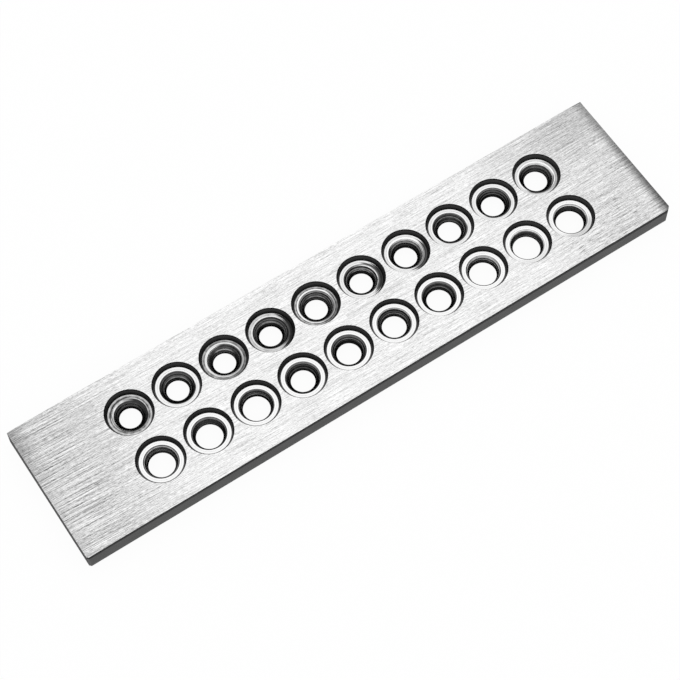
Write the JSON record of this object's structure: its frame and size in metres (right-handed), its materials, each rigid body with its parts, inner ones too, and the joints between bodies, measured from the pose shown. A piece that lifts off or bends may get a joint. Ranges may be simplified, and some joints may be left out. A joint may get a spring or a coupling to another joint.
{
  "type": "wire draw plate",
  "caption": "Flat ground steel plate with two rows of recessed, pressed-in round dies graded in size, for drawing wire.",
  "frame": {"origin": "centre of the plate's outline, on its back face", "axes": "+X along the length, towards the shorter plain end; +Y across the width, towards the row of ten fine dies; +Z through the thickness, out of the front face"},
  "size_m": [0.176, 0.04, 0.0055],
  "materials": {
    "plate_steel": "satin",
    "die_carbide": "gloss"
  },
  "bodies": {
    "root": {"plate": "plate_steel", "die_01": "die_carbide", "die_02": "die_carbide", "die_03": "die_carbide", "die_04": "die_carbide", "die_05": "die_carbide", "die_06": "die_carbide", "die_07": "die_carbide", "die_08": "die_carbide", "die_09": "die_carbide", "die_10": "die_carbide", "die_11": "die_carbide", "die_12": "die_carbide", "die_13": "die_carbide", "die_14": "die_carbide", "die_15": "die_carbide", "die_16": "die_carbide", "die_17": "die_carbide", "die_18": "die_carbide", "die_19": "die_carbide", "die_20": "die_carbide"}
  },
  "joints": []
}
